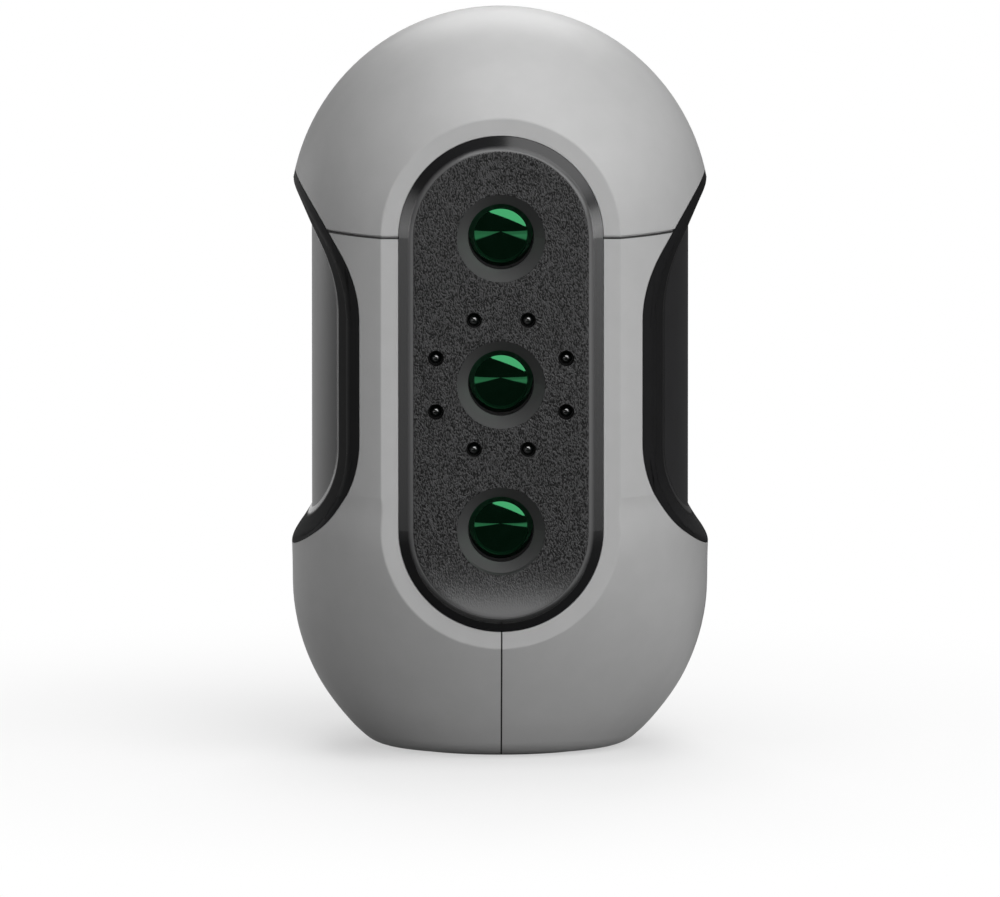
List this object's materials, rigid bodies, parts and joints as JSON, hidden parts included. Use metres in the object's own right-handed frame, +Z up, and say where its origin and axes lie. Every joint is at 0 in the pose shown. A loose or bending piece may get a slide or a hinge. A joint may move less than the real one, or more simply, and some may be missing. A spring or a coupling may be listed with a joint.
{
  "type": "handheld three-d scanner",
  "caption": "Capsule-shaped handheld three-d scanner with lenses and a lamp ring on a black front panel, waisted side grips, rear push buttons and a cable socket.",
  "frame": {"origin": "middle of the underside of the foot, on the surface that the scanner stands on", "axes": "+Z up along the casing's axis, front panel towards -Y, rear buttons towards +Y"},
  "size_m": [0.1042, 0.0898, 0.1856],
  "materials": {
    "casing_gray": "fine satin moulded plastic",
    "panel_black": "black leather-grained plastic",
    "rim_black": "gloss black plastic",
    "pad_gray": "satin dark gray rubber",
    "foot_rubber": "matt black rubber",
    "insert_brass": "turned brass",
    "frame_aluminium": "bead-blasted aluminium",
    "lens_glass": "coated glass",
    "barrel_black": "black anodised aluminium",
    "board_green": "green solder mask",
    "chip_black": "moulded chip package",
    "screw_steel": "zinc-plated steel",
    "lamp_dome": "dark gloss lamp dome",
    "button_black": "satin black silicone",
    "pipe_clear": "frosted clear plastic",
    "socket_metal": "nickel-plated brass",
    "contact_black": "black contact block",
    "lead_black": "black cable jacket",
    "plug_white": "white nylon plug"
  },
  "bodies": {
    "housing": {"top_cap": "casing_gray", "left_shell": "casing_gray", "right_shell": "casing_gray", "base_foot": "foot_rubber", "tripod_insert": "insert_brass", "left_grip_rim": "rim_black", "right_grip_rim": "rim_black", "left_grip_pad": "pad_gray", "right_grip_pad": "pad_gray", "front_panel": "panel_black", "lamp_board": "board_green", "ring_lamps": "lamp_dome", "lamp_board_screws": "screw_steel", "optical_frame": "frame_aluminium", "frame_screws": "screw_steel", "heat_sink": "frame_aluminium", "main_board": "board_green", "board_standoffs": "screw_steel", "board_screws": "screw_steel", "board_chips": "chip_black", "rear_panel": "panel_black", "button_board": "board_green", "tact_switches": "chip_black", "button_board_screws": "screw_steel", "light_pipe": "pipe_clear", "cable_socket": "socket_metal", "socket_contacts": "contact_black", "socket_nut": "socket_metal", "socket_lead": "lead_black", "lead_plug": "plug_white", "upper_lens": "lens_glass", "upper_lens_barrel": "barrel_black", "upper_lens_mount": "frame_aluminium", "upper_sensor_board": "board_green", "upper_sensor": "chip_black", "projector_lens": "lens_glass", "projector_lens_barrel": "barrel_black", "projector_lens_mount": "frame_aluminium", "projector_sensor_board": "board_green", "projector_sensor": "chip_black", "lower_lens": "lens_glass", "lower_lens_barrel": "barrel_black", "lower_lens_mount": "frame_aluminium", "lower_sensor_board": "board_green", "lower_sensor": "chip_black"},
    "plus_button": {"plus_button": "button_black"},
    "scan_button": {"scan_button": "button_black"},
    "minus_button": {"minus_button": "button_black"}
  },
  "joints": [
    {"name": "plus_press", "type": "slide", "parent": "housing", "child": "plus_button", "axis": [0, -1, 0], "range_m": [0, 0.0008], "stiffness_N_per_m": 1500},
    {"name": "scan_press", "type": "slide", "parent": "housing", "child": "scan_button", "axis": [0, -1, 0], "range_m": [0, 0.0008], "stiffness_N_per_m": 1500},
    {"name": "minus_press", "type": "slide", "parent": "housing", "child": "minus_button", "axis": [0, -1, 0], "range_m": [0, 0.0008], "stiffness_N_per_m": 1500}
  ]
}
